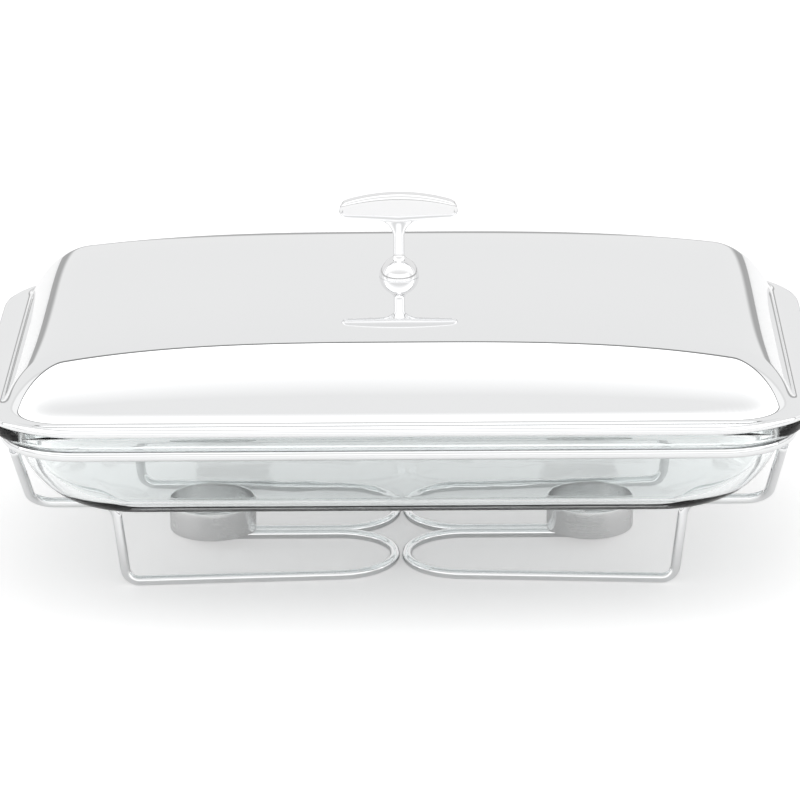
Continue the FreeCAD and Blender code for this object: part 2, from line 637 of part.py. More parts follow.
def make_handle_screw():
    """Pan-head screw, driven from inside the lid up into the handle."""
    body = doc.addObject("PartDesign::Body", "HandleScrew")
    profile = new_sketch(body, "ScrewProfile", "XZ_Plane")
    head, tall = size("screw_head_radius"), size("screw_head_height")
    thread = size("screw_radius")
    recess, deep = size("screw_recess_radius"), size("screw_recess_depth")
    under_lid = size("washer_height") + size("seal_height") + size("seal_play")
    top = tall + under_lid + size("lid_sheet") + size("screw_grip")
    bevel = size("screw_head_bevel")
    corners = [
        (0, deep), (recess, deep), (recess, 0), (head - bevel, 0), (head, bevel), (head, tall),
        (thread, tall), (thread, top - 1), (thread - 1, top), (0, top),
    ]
    lines = [line_between(first, last) for first, last in zip(corners, corners[1:] + corners[:1])]
    profile.addGeometry(lines)
    spin = body.newObject("PartDesign::Revolution", "Screw")
    spin.Profile = profile
    spin.ReferenceAxis = (profile, ["V_Axis"])
    spin.Angle = 360
    body.Tip = spin
    body.setExpression(
        "Placement.Base.z",
        cell("lid_top - lid_sheet - seal_play - seal_height - washer_height - screw_head_height"),
    )
    add_node("handle_screw", body)


doc.recompute()
make_rim_ring()
make_leg_wires(nodes[0])
make_tealight_holder("tealight_holder_left", -1)
make_tealight_holder("tealight_holder_right", 1)
make_glass_dish()
make_lid_shell()
make_lid_handle()
seal_level = "lid_top - lid_sheet - seal_play - seal_height"
make_ring_plate("handle_seal", "seal_radius", "seal_height", seal_level)
make_ring_plate("handle_washer", "washer_radius", "washer_height", seal_level + " - washer_height")
make_handle_screw()
doc.recompute()

for thing in doc.Objects:
    if "Invalid" in thing.State or "Error" in thing.State:
        raise SystemExit(f"{thing.Name} failed: {thing.getStatusString()}")
os.makedirs("parts", exist_ok=True)
for piece in nodes:
    if piece.Shape.isNull() or not piece.Shape.isValid():
        raise SystemExit(f"{piece.Label} has no valid shape")
    piece.Shape.exportStep(f"parts/{piece.Label}.step")
    print(f"{piece.Label}: {piece.Shape.Volume:.0f} mm3, {len(piece.Shape.Solids)} solid")
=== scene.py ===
import math
import bpy
import numpy as np
from mathutils import Matrix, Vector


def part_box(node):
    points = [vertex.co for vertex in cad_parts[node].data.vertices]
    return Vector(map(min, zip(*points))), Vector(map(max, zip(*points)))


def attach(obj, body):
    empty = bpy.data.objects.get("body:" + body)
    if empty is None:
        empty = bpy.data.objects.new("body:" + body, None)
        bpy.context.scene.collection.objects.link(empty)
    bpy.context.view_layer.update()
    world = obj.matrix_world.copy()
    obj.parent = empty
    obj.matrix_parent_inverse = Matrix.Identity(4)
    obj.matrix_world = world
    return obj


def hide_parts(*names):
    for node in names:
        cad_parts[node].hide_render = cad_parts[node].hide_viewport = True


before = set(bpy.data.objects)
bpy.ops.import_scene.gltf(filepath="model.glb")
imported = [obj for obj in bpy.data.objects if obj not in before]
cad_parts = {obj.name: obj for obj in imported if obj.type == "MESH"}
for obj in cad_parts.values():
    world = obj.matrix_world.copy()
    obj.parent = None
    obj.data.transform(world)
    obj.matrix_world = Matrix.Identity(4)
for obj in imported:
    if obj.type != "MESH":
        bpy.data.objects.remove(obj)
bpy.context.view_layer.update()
mm = 0.001
scene = bpy.context.scene
scene.view_settings.view_transform = "Standard"

cameraPlan = {
    "turn": -0.637,        # degrees round the dish, from straight ahead
    "lookDown": 17.968,    # degrees
    "roll": 0.542,
    "distance": 2.4166,
    "aimHeight": 0.09,
    "lens": 215.4,
    "belowAim": 0.381,     # degrees, the picture's middle lies below the aim
}


def placeCamera(plan):
    turn, down, roll = (math.radians(plan[key]) for key in ("turn", "lookDown", "roll"))
    ahead = np.array([math.sin(turn) * math.cos(down), math.cos(turn) * math.cos(down), -math.sin(down)])
    right = np.array([math.cos(turn), -math.sin(turn), 0.0])
    up = np.cross(right, ahead)
    place = np.array([0.0, 0.0, plan["aimHeight"]]) - ahead * plan["distance"]
    right, up = right * math.cos(roll) - up * math.sin(roll), right * math.sin(roll) + up * math.cos(roll)
    ahead = ahead - up * math.tan(math.radians(plan["belowAim"]))
    ahead /= np.linalg.norm(ahead)
    up = np.cross(right, ahead)
    cameraData = bpy.data.cameras.new("Camera")
    cameraData.lens = plan["lens"]
    cameraData.sensor_width = 36.0
    cameraData.clip_start, cameraData.clip_end = 0.1, 50.0
    camera = bpy.data.objects.new("Camera", cameraData)
    scene.collection.objects.link(camera)
    matrix = np.eye(4)
    matrix[:3, 0], matrix[:3, 1], matrix[:3, 2], matrix[:3, 3] = right, up, -ahead, place
    camera.matrix_world = Matrix(matrix.tolist())
    scene.camera = camera


placeCamera(cameraPlan)
print("camera placed")


# materials

class Field:
    # a node's output that can be added, multiplied and so on as a number
    def __init__(self, finish, socket):
        self.finish, self.socket = finish, socket

    def combine(self, operation, first, second):
        return self.finish.node("ShaderNodeMath", {"operation": operation}, {0: first, 1: second})

    def __add__(self, other):
        return self.combine("ADD", self, other)

    def __radd__(self, other):
        return self.combine("ADD", other, self)

    def __mul__(self, other):
        return self.combine("MULTIPLY", self, other)

    def __rmul__(self, other):
        return self.combine("MULTIPLY", other, self)


class Finish:
    # a material with a Principled shader; node() adds any other node
    def __init__(self, name, **constants):
        self.material = bpy.data.materials.new(name)
        self.material.use_nodes = True
        self.tree = self.material.node_tree
        self.shader = self.tree.nodes["Principled BSDF"]
        for key, value in constants.items():
            self.shader.inputs[key.replace("_", " ")].default_value = value

    def node(self, kind, settings=None, inputs=None, output=0):
        made = self.tree.nodes.new(kind)
        for key, value in (settings or {}).items():
            setattr(made, key, value)
        for key, value in (inputs or {}).items():
            if isinstance(value, Field):
                self.tree.links.new(value.socket, made.inputs[key])
            else:
                made.inputs[key].default_value = value
        return Field(self, made.outputs[output])

    def drive(self, socketName, field):
        self.tree.links.new(field.socket, self.shader.inputs[socketName])

    def place(self, stretch=(1, 1, 1)):
        # the point on the piece, in metres, stretched so that a pattern can run one way
        point = self.node("ShaderNodeTexCoord", output="Object")
        return self.node("ShaderNodeMapping", {}, {"Vector": point, "Scale": stretch})

    def noise(self, scale, detail=2.0, stretch=(1, 1, 1)):
        inputs = {"Vector": self.place(stretch), "Scale": scale, "Detail": detail}
        return self.node("ShaderNodeTexNoise", {}, inputs)

    def between(self, amount, first, second):
        # a colour that goes from first to second as amount goes from 0 to 1
        mix = self.tree.nodes.new("ShaderNodeMix")
        mix.data_type = "RGBA"
        self.tree.links.new(amount.socket, mix.inputs["Factor"])
        mix.inputs[6].default_value = (*first, 1)
        mix.inputs[7].default_value = (*second, 1)
        return Field(self, mix.outputs[2])

    def relief(self, height, depth, strength=1.0):
        bump = self.node("ShaderNodeBump", {}, {"Height": height, "Distance": depth, "Strength": strength})
        self.drive("Normal", bump)


def polishedSteel(name, tone, roughness, wave, waveScale):
    # mirror steel: faint cloudy polish marks and a very slight waviness
    finish = Finish(name, Metallic=1.0)
    marks = finish.noise(340.0, 4.0)
    clouds = finish.noise(9.0, 3.0)
    bright = tuple(min(1.0, part * 1.02) for part in tone)
    finish.drive("Base Color", finish.between(clouds, tone, bright))
    finish.drive("Roughness", marks * (roughness * 0.9) + clouds * (roughness * 0.5) + roughness * 0.3)
    finish.relief(finish.noise(waveScale, 1.0), wave)
    return finish.material


def spunSteel(name, tone, roughness):
    # steel sheet spun into a cup: fine rings up the wall, a little dulled
    finish = Finish(name, Metallic=1.0)
    rings = finish.noise(60.0, 3.0, (0.4, 0.4, 60.0))
    dull = finish.noise(70.0, 3.0)
    finish.drive("Base Color", finish.between(dull, tone, tuple(part * 0.93 for part in tone)))
    finish.drive("Roughness", dull * 0.12 + rings * 0.08 + roughness)
    finish.relief(rings, 0.00003, 0.35)
    return finish.material


def clearGlass(name, tint):
    # pressed glass: very slight flow waves in the surface
    finish = Finish(name, Metallic=0.0, IOR=1.36)
    finish.shader.inputs["Transmission Weight"].default_value = 1.0
    haze = finish.noise(30.0, 3.0)
    finish.drive("Base Color", finish.between(haze, tint, tuple(min(1.0, part * 1.01) for part in tint)))
    finish.drive("Roughness", haze * 0.02)
    finish.relief(finish.noise(22.0, 2.0), 0.0004, 0.25)
    return finish.material


def plainFinish(name, tone, roughness, metallic, grainScale):
    finish = Finish(name, Metallic=metallic)
    grain = finish.noise(grainScale, 5.0)
    finish.drive("Base Color", finish.between(grain, tone, tuple(part * 0.86 for part in tone)))
    finish.drive("Roughness", grain * 0.2 + roughness)
    finish.relief(grain, 0.00005, 0.4)
    return finish.material


lidSteel = polishedSteel("LidSteel", (0.905, 0.91, 0.915), 0.03, 0.00025, 7.0)
wireChrome = polishedSteel("WireChrome", (0.87, 0.875, 0.88), 0.05, 0.00003, 90.0)
handleSteel = polishedSteel("HandleSteel", (0.88, 0.88, 0.885), 0.08, 0.00004, 60.0)
holderSteel = spunSteel("HolderSteel", (0.93, 0.93, 0.93), 0.16)
dishGlass = clearGlass("DishGlass", (0.968, 0.988, 0.987))
fastenerSteel = plainFinish("FastenerSteel", (0.72, 0.73, 0.74), 0.22, 1.0, 900.0)
sealSilicone = plainFinish("SealSilicone", (0.80, 0.81, 0.81), 0.5, 0.0, 600.0)
print("materials made")


# shapes

def gridPiece(name, points, body, nodes, slot, material, poles=(None, None), ringClosed=False):
    # points[i, j] is a grid of rings that close round j; poles are end points that close
    # the first and last ring, and ringClosed joins the last ring to the first
    levels, around = points.shape[:2]
    vertices = points.reshape(-1, 3)
    index = np.arange(levels * around).reshape(levels, around)
    if ringClosed:
        index = np.vstack([index, index[:1]])
    here, nextRound = index[:-1], np.roll(index[:-1], -1, axis=1)
    there, nextThere = index[1:], np.roll(index[1:], -1, axis=1)
    quads = np.stack([here, nextRound, nextThere, there], axis=-1).reshape(-1, 4)
    triangles = []
    for pole, ring, turned in ((poles[0], index[0], True), (poles[1], index[-1], False)):
        if pole is not None:
            tip = np.full(around, len(vertices))
            vertices = np.vstack([vertices, np.array(pole)[None]])
            sides = (np.roll(ring, -1), ring) if turned else (ring, np.roll(ring, -1))
            triangles.append(np.stack([*sides, tip], axis=-1))
    corners = vertices[quads]
    volume = np.einsum("ij,ij->i", corners[:, 0], np.cross(corners[:, 1], corners[:, 2])).sum()
    volume += np.einsum("ij,ij->i", corners[:, 0], np.cross(corners[:, 2], corners[:, 3])).sum()
    if volume < 0:
        quads = quads[:, ::-1]
        triangles = [fan[:, ::-1] for fan in triangles]
    mesh = bpy.data.meshes.new(name)
    faces = quads.tolist() + [row for fan in triangles for row in fan.tolist()]
    mesh.from_pydata(vertices.tolist(), [], faces)
    mesh.polygons.foreach_set("use_smooth", np.ones(len(mesh.polygons), bool))
    mesh.update()
    piece = bpy.data.objects.new(name, mesh)
    scene.collection.objects.link(piece)
    mesh.materials.append(material)
    if body:
        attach(piece, body)
        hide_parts(*nodes)
    return piece


def roundedOutline(cornerSteps, longSteps, shortSteps):
    # a rounded rectangle as a template: which corner centre a point belongs to (side) and
    # its direction from there (way); point = side * (half size - corner) + way * corner
    sides, ways = [], []
    centres = [(1, 1), (-1, 1), (-1, -1), (1, -1)]
    for turn, centre in enumerate(centres):
        angle = np.linspace(0, math.pi / 2, cornerSteps + 1) + turn * math.pi / 2
        sides.append(np.tile(centre, (cornerSteps + 1, 1)).astype(float))
        ways.append(np.stack([np.cos(angle), np.sin(angle)], axis=-1))
        steps = longSteps if turn % 2 == 0 else shortSteps
        along = np.arange(1, steps)[:, None] / steps
        after = np.array(centres[(turn + 1) % 4], float)
        sides.append(np.array(centre) * (1 - along) + after * along)
        ways.append(np.tile(ways[-1][-1], (steps - 1, 1)))
    return np.vstack(sides), np.vstack(ways)


def outlineRings(template, halfLength, halfWidth, corner):
    # one ring of points in the plane for each value of the three sizes
    side, way = template
    corner = np.asarray(corner, float)[:, None]
    x = side[:, 0] * (np.asarray(halfLength, float)[:, None] - corner) + way[:, 0] * corner
    y = side[:, 1] * (np.asarray(halfWidth, float)[:, None] - corner) + way[:, 1] * corner
    return x, y


def bentPath(corners, radii, turnSteps):
    # straight runs joined by tangent arcs: each arc turns about a point on the bend's inside
    corners = np.array(corners, float)
    run = [corners[0]]
    for before, corner, after, radius in zip(corners, corners[1:], corners[2:], radii):
        arrive = (corner - before) / np.linalg.norm(corner - before)
        leave = (after - corner) / np.linalg.norm(after - corner)
        half = math.acos(np.clip(arrive @ leave, -1, 1)) / 2
        inward = (leave - arrive) / np.linalg.norm(leave - arrive)
        centre = corner + inward * radius / math.cos(half)
        turn = np.linspace(-half, half, turnSteps + 1)[:, None]
        middle = (arrive + leave) / np.linalg.norm(arrive + leave)
        run.extend(centre - inward * radius * np.cos(turn) + middle * radius * np.sin(turn))
    run.append(corners[-1])
    return np.array(run)


def denser(path, step):
    # extra points on the straight runs, so that no two points are further apart than step
    gaps = np.linalg.norm(np.diff(path, axis=0), axis=1)
    counts = np.maximum(1, np.ceil(gaps / step)).astype(int)
    parts = [
        first + (last - first) * (np.arange(count) / count)[:, None]
        for first, last, count in zip(path, path[1:], counts)
    ]
    return np.vstack(parts + [path[-1:]])


endRings = 5


def tubePiece(name, path, radius, closed, around, edge, reference, *ride):
    # a circle carried along a path: point = path + radius (cos a side + sin a over);
    # an open tube's cut ends are hollowed by edge, inside a sharp rim
    path = np.asarray(path, float)
    if closed:
        tangent = np.roll(path, -1, axis=0) - np.roll(path, 1, axis=0)
    else:
        tangent = np.gradient(path, axis=0)
    tangent /= np.linalg.norm(tangent, axis=1, keepdims=True)
    side = np.cross(tangent, reference)
    side /= np.linalg.norm(side, axis=1, keepdims=True)
    over = np.cross(side, tangent)
    radii = np.full(len(path), radius)
    poles = (None, None)
    if not closed:
        turn = np.linspace(0, math.pi / 2, endRings)
        shrink = radius - edge + edge * np.sin(turn)
        depth = (edge * (1 - np.cos(turn)))[:, None]
        first = path[0] + tangent[0] * depth[::-1]
        last = path[-1] - tangent[-1] * depth
        poles = (path[0], path[-1])
        path = np.vstack([first, path[1:-1], last])
        radii = np.concatenate([shrink, radii[1:-1], shrink[::-1]])
        side, over = (
            np.vstack([np.tile(rows[0], (endRings, 1)), rows[1:-1], np.tile(rows[-1], (endRings, 1))])
            for rows in (side, over)
        )
    angle = np.linspace(0, 2 * math.pi, around, endpoint=False)
    circle = np.cos(angle)[None, :, None] * side[:, None] + np.sin(angle)[None, :, None] * over[:, None]
    points = path[:, None] + circle * radii[:, None, None]
    return gridPiece(name, points, *ride, poles=poles, ringClosed=closed)


def turnedPiece(name, centre, radii, heights, around, *ride):
    # a profile of radius and height turned about the upright axis; it starts and ends on the axis
    angle = np.linspace(0, 2 * math.pi, around, endpoint=False)
    radii, heights = np.asarray(radii), np.asarray(heights)
    points = np.stack([
        centre[0] + radii[:, None] * np.cos(angle),
        centre[1] + radii[:, None] * np.sin(angle),
        np.repeat(heights[:, None], around, axis=1),
    ], axis=-1)
    poles = ((centre[0], centre[1], heights[0]), (centre[0], centre[1], heights[-1]))
    return gridPiece(name, points, *ride, poles=poles)


def arc(centreX, centreZ, radius, fromTurn, toTurn, steps=8):
    # points of an arc in degrees, as two arrays
    angle = np.radians(np.linspace(fromTurn, toTurn, steps + 1))
    return centreX + radius * np.cos(angle), centreZ + radius * np.sin(angle)


def joined(*parts):
    # pairs of arrays put end to end
    return tuple(np.concatenate([part[item] for part in parts]) for item in (0, 1))


# the wire stand

ringPlan = {"wire": 5.6, "corner": 37.0, "around": 36}     # mm, corner at the wire's centre
legPlan = {
    "wire": 5.0,
    "startAngle": 31.0,       # degrees round the ring's corner
    "sunkInRing": 0.5,
    "step": (181.5, -69.5, 43.8),
    "top": (140.8, -69.5, 43.8),
    "foot": (135.8, -70.0),
    "hairpin": (3.1, -61.5, -3.0),      # tip, foot run, inner run
    "innerEnd": 103.0,
    "bends": (12.0, 9.0, 7.0, 29.0, 29.0),
    "turnSteps": 20, "pointGap": 4.0, "around": 32, "cutHollow": 0.5,
    "leanRight": 0.5, "leanBack": 0.5, "leanUp": 0.7,       # a direction no run of wire follows
}


def makeStand():
    low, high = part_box("rim_ring")
    radius = ringPlan["wire"] * mm / 2
    level = (low.z + high.z) / 2
    template = roundedOutline(24, 60, 40)
    x, y = outlineRings(template, [high.x - radius], [high.y - radius], [ringPlan["corner"] * mm])
    path = np.stack([x[0], y[0], np.full(x.shape[1], level)], axis=-1)
    tubePiece("rimRing", path, radius, True, ringPlan["around"], 0, (0, 0, 1),
              "stand", ["rim_ring"], "stand_wire", wireChrome)
    turn = math.radians(legPlan["startAngle"])
    corner = ringPlan["corner"] * mm
    start = (
        high.x - radius - corner + corner * math.cos(turn),
        low.y + radius + corner - corner * math.sin(turn),
        level - radius + legPlan["sunkInRing"] * mm,
    )
    ground = legPlan["wire"] / 2
    tipX, footY, innerY = legPlan["hairpin"]
    bends = [
        legPlan["step"], legPlan["top"], (*legPlan["foot"], ground), (tipX, footY, ground),
        (tipX, innerY, ground), (legPlan["innerEnd"], innerY, ground),
    ]
    corners = np.vstack([np.array(start)[None], np.array(bends) * mm])
    radii = [bend * mm for bend in legPlan["bends"]]
    path = denser(bentPath(corners, radii, legPlan["turnSteps"]), legPlan["pointGap"] * mm)
    places = ((1, 1, "front_right"), (-1, 1, "front_left"), (1, -1, "rear_right"), (-1, -1, "rear_left"))
    for along, across, place in places:
        words = place.split("_")
        name = "legWire" + words[0].capitalize() + words[1].capitalize()
        mirrored = path * np.array([along, across, 1.0])
        reference = [legPlan["leanRight"] * along, legPlan["leanBack"] * across, legPlan["leanUp"]]
        tubePiece(name, mirrored, ground * mm, False, legPlan["around"], legPlan["cutHollow"] * mm, reference,
                  "stand", ["leg_wire_" + place], "stand_wire", wireChrome)


makeStand()
print("stand made")

holderPlan = {"wall": 0.8, "bottomEdge": 1.5, "lipEdge": 0.4, "around": 128}    # mm


def makeHolder(side):
    low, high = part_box("tealight_holder_" + side)
    radius = (high.x - low.x) / 2
    wall, edge, lip = (holderPlan[key] * mm for key in ("wall", "bottomEdge", "lipEdge"))
    floorLow, floorTop, top = low.z, low.z + wall, high.z
    inner = radius - wall
    radii, heights = joined(
        (np.linspace(0.02, 1, 12)[:-1] * (radius - edge), np.full(11, floorLow)),
        arc(radius - edge, floorLow + edge, edge, -90, 0),
        (np.full(6, radius), np.linspace(floorLow + edge, top - lip, 8)[1:-1]),
        arc(radius - lip, top - lip, lip, 0, 90, 5),
        arc(inner + lip, top - lip, lip, 90, 180, 5),
        (np.full(6, inner), np.linspace(top - lip, floorTop + edge - wall, 8)[1:-1]),
        arc(inner - edge + wall, floorTop + edge - wall, edge - wall, 0, -90),
        (np.linspace(1, 0.02, 12)[1:] * (inner - edge + wall), np.full(11, floorTop)),
    )
    centre = ((low.x + high.x) / 2, (low.y + high.y) / 2)
    turnedPiece("tealightHolder" + side.capitalize(), centre, radii, heights, holderPlan["around"],
                "stand", ["tealight_holder_" + side], "holder_steel", holderSteel)


makeHolder("left")
makeHolder("right")
print("tealight holders made")

# the glass dish

dishPlan = {
    # mm
    "rimDepth": 6.6, "rimEdge": 2.8, "rimCorner": 41.0,
    "flatHalfLength": 147.0, "flatHalfWidth": 94.5, "endReach": 40.5,
    "sideEdge": 14.0, "sideDraft": 20.0, "flatCorner": 26.0, "wallCorner": 36.0,
    "wall": 5.0,
}


def wallLevels(plan, rise, inset, swing):
    # half length, half width, corner and height of the glass wall for each swing of the end's
    # quarter ellipse: the ends follow the ellipse, the long sides an arc and then a straight draft
    lift = (rise - inset) * (1 - np.cos(swing))
    edge = plan["sideEdge"] * mm - inset
    draft = math.radians(plan["sideDraft"])
    edgeRise = edge * (1 - math.sin(draft))
    onEdge = np.sqrt(np.maximum(2 * edge * np.minimum(lift, edgeRise) - np.minimum(lift, edgeRise) ** 2, 0))
    onWall = edge * math.cos(draft) + (lift - edgeRise) * math.tan(draft)
    reach = np.where(lift < edgeRise, onEdge, onWall)
    halfLength = plan["flatHalfLength"] * mm + (plan["endReach"] * mm - inset) * np.sin(swing)
    corner = plan["flatCorner"] + (plan["wallCorner"] - plan["flatCorner"]) * np.sin(swing)
    corner = corner * mm - inset * 0.8 * np.sin(swing)
    return halfLength, plan["flatHalfWidth"] * mm + reach, corner, lift


def makeDish(plan):
    low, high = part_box("glass_dish")
    rimLow = high.z - plan["rimDepth"] * mm
    rise = rimLow - low.z
    wall, edge = plan["wall"] * mm, plan["rimEdge"] * mm
    swing = np.radians(np.linspace(0, 90, 46))
    outLength, outWidth, outCorner, outLift = wallLevels(plan, rise, 0.0, swing)
    inLength, inWidth, inCorner, inLift = wallLevels(plan, rise, wall, swing)
    shrink = np.linspace(0.06, 1, 26)[:-1]
    flat = lambda value: shrink * value
    still = lambda value, count: np.full(count, value)
    turn = np.radians(np.linspace(-90, 0, 9))
    upper = np.radians(np.linspace(0, 90, 9))
    rimOut = lambda bend: (high.x - edge + edge * np.cos(bend), high.y - edge + edge * np.cos(bend))
    rimCorner = lambda bend: plan["rimCorner"] * mm - edge + edge * np.cos(bend)
    mouthX, mouthY, mouthCorner = inLength[-1], inWidth[-1], inCorner[-1]
    parts = [
        (flat(outLength[0]), flat(outWidth[0]), flat(outCorner[0]), still(low.z, 25)),
        (outLength, outWidth, outCorner, low.z + outLift),
        (*rimOut(turn), rimCorner(turn), rimLow + edge + edge * np.sin(turn)),
        (*rimOut(upper), rimCorner(upper), high.z - edge + edge * np.sin(upper)),
        (mouthX + edge * (1 - np.sin(upper)), mouthY + edge * (1 - np.sin(upper)),
         mouthCorner + edge * (1 - np.sin(upper)), high.z - edge + edge * np.cos(upper)),
        (inLength[::-1], inWidth[::-1], inCorner[::-1], low.z + wall + inLift[::-1]),
        (flat(inLength[0])[::-1], flat(inWidth[0])[::-1], flat(inCorner[0])[::-1], still(low.z + wall, 25)),
    ]
    length, width, corner, height = (np.concatenate([part[item] for part in parts]) for item in range(4))
    template = roundedOutline(28, 60, 40)
    x, y = outlineRings(template, length, width, corner)
    points = np.stack([x, y, np.repeat(height[:, None], x.shape[1], axis=1)], axis=-1)
    gridPiece("glassDish", points, "dish", ["glass_dish"], "glass", dishGlass,
              poles=((0, 0, height[0]), (0, 0, height[-1])))


makeDish(dishPlan)
print("glass dish made")

# the lid

lidPlan = {
    "corner": 56.0, "bead": 4.0, "sheet": 1.0, "flangeOverBead": 0.1,
    "domeHalfLength": 198.2, "domeHalfWidth": 124.6,
    "shoulder": 32.0, "foot": 8.0, "slope": 58.0,
    "crown": 15.5, "longBend": 3.0, "crossBend": 5.0,
    "hole": 2.7,
    "middleShare": 0.62,      # how far out the widely spaced rings reach
}


def domeHeight(plan, top, flange, x, y):
    # the edge profile, a convex shoulder, a straight wall and a concave foot, is a height for a
    # distance out from the dome's middle part; the crown then raises it towards the centre
    slope = math.radians(plan["slope"])
    shoulder, foot = plan["shoulder"] * mm, plan["foot"] * mm
    a, b = plan["domeHalfLength"] * mm, plan["domeHalfWidth"] * mm
    crownRise = plan["crown"] * mm
    rise = top - flange - crownRise
    straight = (rise - (shoulder + foot) * (1 - math.cos(slope))) / math.sin(slope)
    width = (shoulder + foot) * math.sin(slope) + straight * math.cos(slope)
    out = np.hypot(np.maximum(np.abs(x) - a + width, 0), np.maximum(np.abs(y) - b + width, 0))
    onShoulder = rise - shoulder + np.sqrt(np.maximum(shoulder**2 - out**2, 0))
    onWall = rise - shoulder * (1 - math.cos(slope)) - (out - shoulder * math.sin(slope)) * math.tan(slope)
    onFoot = foot - np.sqrt(np.maximum(foot**2 - np.maximum(width - out, 0) ** 2, 0))
    edge = np.where(out < shoulder * math.sin(slope), onShoulder, onWall)
    edge = np.where(out < width - foot * math.sin(slope), edge, onFoot)
    edge = np.where(out >= width, 0.0, edge)
    crown = (1 - np.abs(x / a) ** plan["longBend"]) * (1 - np.abs(y / b) ** plan["crossBend"])
    return edge * (1 + crownRise / rise * np.maximum(crown, 0))


def makeLid(plan):
    low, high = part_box("lid_shell")
    bead, sheet = plan["bead"] * mm / 2, plan["sheet"] * mm
    flange = low.z + 2 * bead + plan["flangeOverBead"] * mm
    beadLevel = low.z + bead
    template = roundedOutline(36, 80, 54)
    edgeX, edgeY = outlineRings(template, [high.x - bead], [high.y - bead], [plan["corner"] * mm - bead])
    way = template[1]
    angle = np.arctan2(edgeY[0], edgeX[0])
    hole = plan["hole"] * mm

    def skin(shares, drop):
        # rings that go from the screw hole out to the flange's edge, on the sheet's face
        shares = shares[:, None]
        x = (1 - shares) * hole * np.cos(angle) + shares * edgeX
        y = (1 - shares) * hole * np.sin(angle) + shares * edgeY
        return np.stack([x, y, flange - drop + domeHeight(plan, high.z, flange, x, y)], axis=-1)

    middle = np.linspace(0, plan["middleShare"], 30)
    outer = np.linspace(plan["middleShare"], 1, 111)[1:]
    upper = skin(np.concatenate([middle, outer]), 0.0)
    turn = np.radians(np.linspace(80, -205, 26))
    curl = np.stack([
        edgeX + way[:, 0] * bead * np.cos(turn)[:, None],
        edgeY + way[:, 1] * bead * np.cos(turn)[:, None],
        np.repeat((beadLevel + bead * np.sin(turn))[:, None], len(way), axis=1),
    ], axis=-1)
    innerRings = np.linspace(0, plan["middleShare"], 14)
    outerRings = np.linspace(plan["middleShare"], 0.985, 50)[1:]
    inside = np.concatenate([innerRings, outerRings])
    under = skin(inside[::-1], sheet)
    points = np.concatenate([upper, curl, under])
    gridPiece("lidShell", points, "lid", ["lid_shell"], "lid_steel", lidSteel, ringClosed=True)


makeLid(lidPlan)
print("lid made")

# the handle

handlePlan = {
    "barBottom": 28.6, "endBottom": 30.8, "endTop": 38.4, "thickness": 8.0,
    "endRound": 4.0, "squareness": 4.5, "around": 112,
    "neck": 2.9, "ball": 10.0, "blend": 4.0, "flare": 8.5,
}


def makeHandle(plan):
    low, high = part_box("lid_handle")
    half = high.x
    base = low.z
    barTop = high.z - base
    # the bar: a squared ellipse across, whose top is a long arc and whose ends close in a rounding
    u = np.sin(np.radians(np.linspace(-90, 90, 97)))[1:-1]
    x = half * u
    top = plan["endTop"] * mm + (barTop - plan["endTop"] * mm) * (1 - u**2)
    under = plan["barBottom"] * mm + (plan["endBottom"] - plan["barBottom"]) * mm * np.abs(u)
    closing = np.clip((np.abs(x) - half + plan["endRound"] * mm) / (plan["endRound"] * mm), 0, 1)
    closing = np.sqrt(1 - closing**2)
    middle, tall = (top + under) / 2, (top - under) / 2 * closing
    deep = plan["thickness"] * mm / 2 * (1 - 0.12 * u**2) * closing
    turn = np.linspace(0, 2 * math.pi, plan["around"], endpoint=False)
    power = 2 / plan["squareness"]
    round1 = np.sign(np.cos(turn)) * np.abs(np.cos(turn)) ** power
    round2 = np.sign(np.sin(turn)) * np.abs(np.sin(turn)) ** power
    bar = np.stack([
        np.repeat(x[:, None], plan["around"], axis=1),
        deep[:, None] * round1,
        base + middle[:, None] + tall[:, None] * round2,
    ], axis=-1)
    ends = (base + middle[0], base + middle[-1])
    barPiece = gridPiece("lidHandleBar", bar, "lid", ["lid_handle"], "handle_steel", handleSteel,
                         poles=((-half, 0, ends[0]), (half, 0, ends[1])))
    # the stem: half ball, hollow blend, neck and the flare that runs into the bar's underside
    ball, neck, blend, flare = (plan[key] * mm for key in ("ball", "neck", "blend", "flare"))
    lean = math.degrees(math.acos((neck + blend) / (ball + blend)))
    blendZ = math.sqrt((ball + blend) ** 2 - (neck + blend) ** 2)
    flareTop = plan["barBottom"] * mm + 0.6 * mm
    wide, height = joined(
        (np.linspace(0.04, 1, 10)[:-1] * ball, np.full(9, 0.0)),
        arc(0, 0, ball, 0, lean, 20),
        arc(neck + blend, blendZ, blend, 180 + lean, 180, 12),
        (np.full(7, neck), np.linspace(blendZ, flareTop - flare, 9)[1:-1]),
        arc(neck + flare, flareTop - flare, flare, 180, 96, 24),
        (np.linspace(neck + flare, 0.3 * mm, 6)[1:], np.full(5, flareTop + 1.5 * mm)),
    )
    reach = np.minimum(wide, np.where(height > blendZ, neck + (plan["thickness"] * mm / 2 * 0.86 - neck)
                                      * np.clip((wide - neck) / flare, 0, 1) ** 0.6, wide))
    stem = np.stack([
        wide[:, None] * np.cos(turn),
        reach[:, None] * np.sin(turn),
        np.repeat((base + height)[:, None], plan["around"], axis=1),
    ], axis=-1)
    stemPiece = gridPiece("lidHandleStem", stem, "lid", ["lid_handle"], "handle_steel", handleSteel,
                          poles=((0, 0, base), (0, 0, base + height[-1])))
    return barPiece, stemPiece


makeHandle(handlePlan)
print("handle made")

for nodeName, material, slotName in (
    ("handle_seal", sealSilicone, "seal_silicone"),
    ("handle_washer", fastenerSteel, "fastener_steel"),
    ("handle_screw", fastenerSteel, "fastener_steel"),
):
    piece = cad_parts[nodeName]
    piece.data.materials.clear()
    piece.data.materials.append(material)
print("fasteners finished")

# the studio

